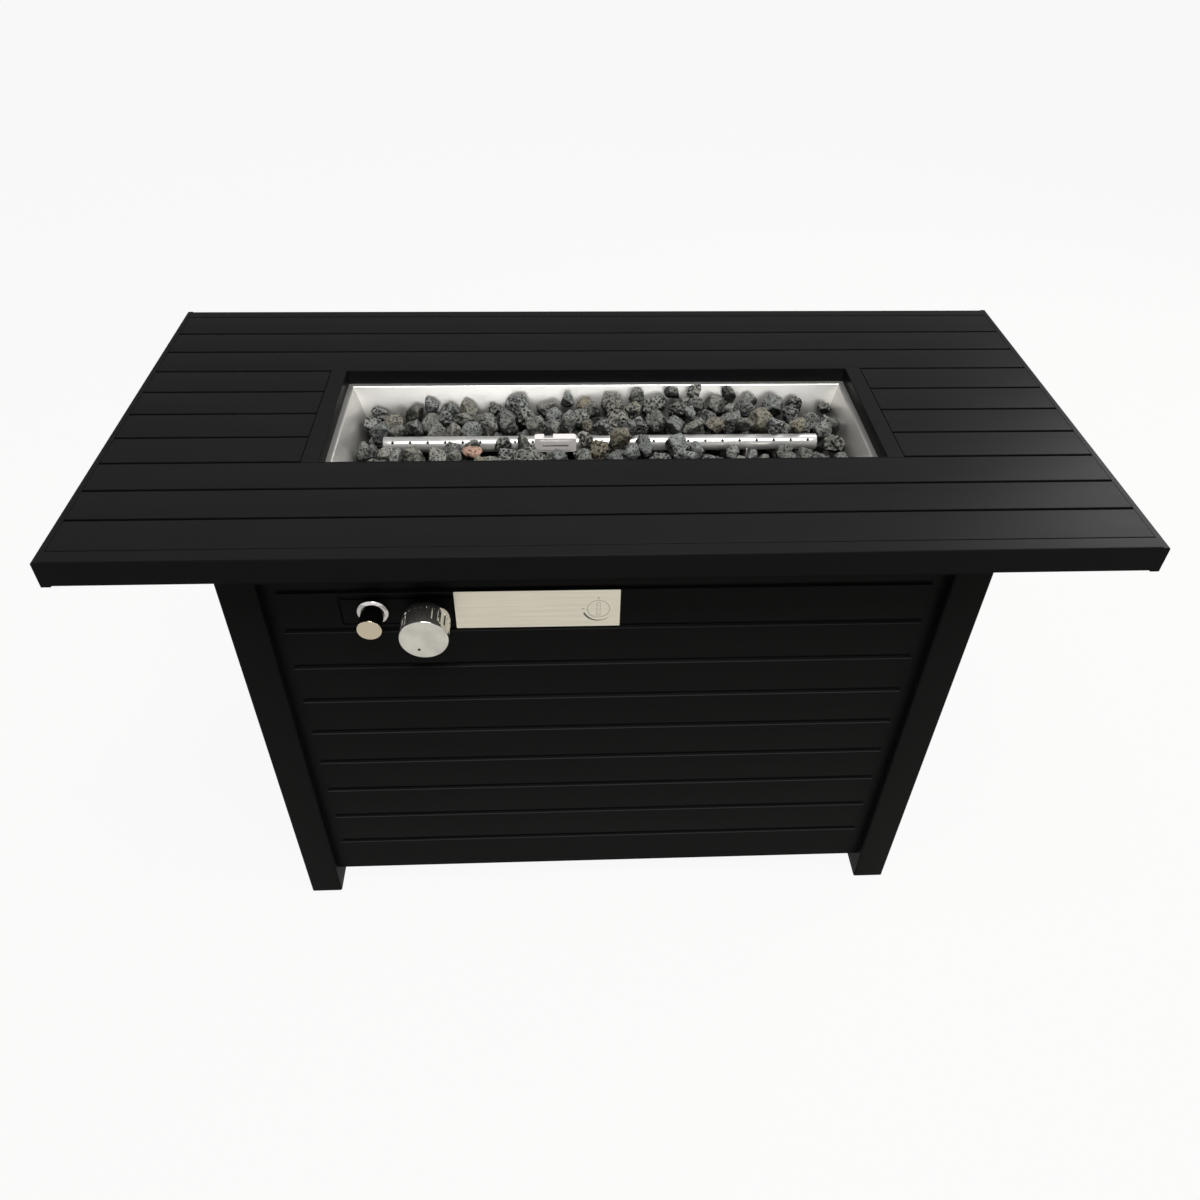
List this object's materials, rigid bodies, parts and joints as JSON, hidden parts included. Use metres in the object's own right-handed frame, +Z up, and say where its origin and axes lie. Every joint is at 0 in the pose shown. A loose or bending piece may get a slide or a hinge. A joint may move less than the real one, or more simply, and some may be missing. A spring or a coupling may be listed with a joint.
{
  "type": "fire pit table",
  "caption": "Rectangular gas fire pit table with a slatted steel top, cabinet base, long tube burner in a pan of lava rock, push igniter and control knob.",
  "frame": {"origin": "on the floor under the middle of the table", "axes": "+X to the right as seen from the front, +Y to the back, +Z up"},
  "size_m": [1.067, 0.521, 0.625],
  "materials": {
    "table_top_coat": "satin black powder coat on folded steel",
    "base_coat": "satin black powder coat on steel tube",
    "panel_coat": "satin black powder coat on pressed steel sheet",
    "glides": "matte black plastic",
    "screws": "dark zinc plating",
    "chrome_trim": "polished chrome",
    "hinges": "plain steel",
    "black_plastic": "matte black plastic",
    "gloss_black": "gloss black plastic",
    "label_steel": "fine brushed stainless steel, blank of lettering",
    "valve_casting": "die-cast aluminium",
    "brass_fittings": "turned brass",
    "battery_can": "plain metal can",
    "burner_steel": "bright brushed stainless steel",
    "ceramic": "glazed white ceramic",
    "pipe_aluminium": "plain drawn tube",
    "lead_insulation": "black silicone",
    "lava_stone": "rough porous grey stone"
  },
  "bodies": {
    "table": {"end_rail_left": "table_top_coat", "end_rail_right": "table_top_coat", "front_edge_rail": "table_top_coat", "back_edge_rail": "table_top_coat", "long_slat_front_1": "table_top_coat", "long_slat_front_2": "table_top_coat", "long_slat_front_3": "table_top_coat", "long_slat_back_1": "table_top_coat", "long_slat_back_2": "table_top_coat", "long_slat_back_3": "table_top_coat", "short_slat_left_1": "table_top_coat", "short_slat_left_2": "table_top_coat", "short_slat_left_3": "table_top_coat", "short_slat_left_4": "table_top_coat", "short_slat_right_1": "table_top_coat", "short_slat_right_2": "table_top_coat", "short_slat_right_3": "table_top_coat", "short_slat_right_4": "table_top_coat", "opening_collar": "table_top_coat", "top_frame": "base_coat", "post_front_left": "base_coat", "post_front_right": "base_coat", "post_back_left": "base_coat", "post_back_right": "base_coat", "foot_glides": "glides", "top_rail_front": "base_coat", "top_rail_back": "base_coat", "top_rail_left": "base_coat", "top_rail_right": "base_coat", "front_panel": "panel_coat", "side_panel_left": "panel_coat", "side_panel_right": "panel_coat", "bottom_tray": "panel_coat", "screws_and_bolts": "screws", "hinge_frame_leaves": "hinges", "door_magnet": "black_plastic", "control_plate": "panel_coat", "label_plate": "label_steel", "gas_valve": "valve_casting", "igniter_bezel": "chrome_trim", "igniter_body": "black_plastic", "igniter_battery": "battery_can", "igniter_spring": "hinges", "burner_pan": "burner_steel", "burner_tube": "burner_steel", "pilot_hood": "burner_steel", "spark_electrode": "ceramic", "thermocouple": "brass_fittings", "air_mixer": "brass_fittings", "gas_pipe": "pipe_aluminium", "ignition_lead": "lead_insulation", "lava_rocks": "lava_stone"},
    "valve_push": {"valve_push_collar": "brass_fittings"},
    "knob": {"valve_stem": "brass_fittings", "control_knob": "chrome_trim"},
    "igniter_push": {"igniter_button": "gloss_black", "igniter_cap": "chrome_trim"},
    "door": {"back_door": "panel_coat", "door_pull": "chrome_trim", "hinge_door_leaves": "hinges"}
  },
  "joints": [
    {"name": "knob_push", "type": "slide", "parent": "table", "child": "valve_push", "axis": [0, 1, 0], "range_m": [0, 0.003], "stiffness_N_per_m": 2500, "springref_m": -0.001},
    {"name": "knob_turn", "type": "hinge", "parent": "valve_push", "child": "knob", "pos_m": [-0.1905, -0.2, 0.5075], "axis": [0, -1, 0], "range_deg": [0, 240]},
    {"name": "igniter_push_in", "type": "slide", "parent": "table", "child": "igniter_push", "axis": [0, 1, 0], "range_m": [0, 0.004], "stiffness_N_per_m": 1000, "springref_m": -0.002, "deforming": ["igniter_spring"]},
    {"name": "door_swing", "type": "hinge", "parent": "table", "child": "door", "pos_m": [0.3533, 0.20495, 0.3], "axis": [0, 0, -1], "range_deg": [0, 110]}
  ]
}
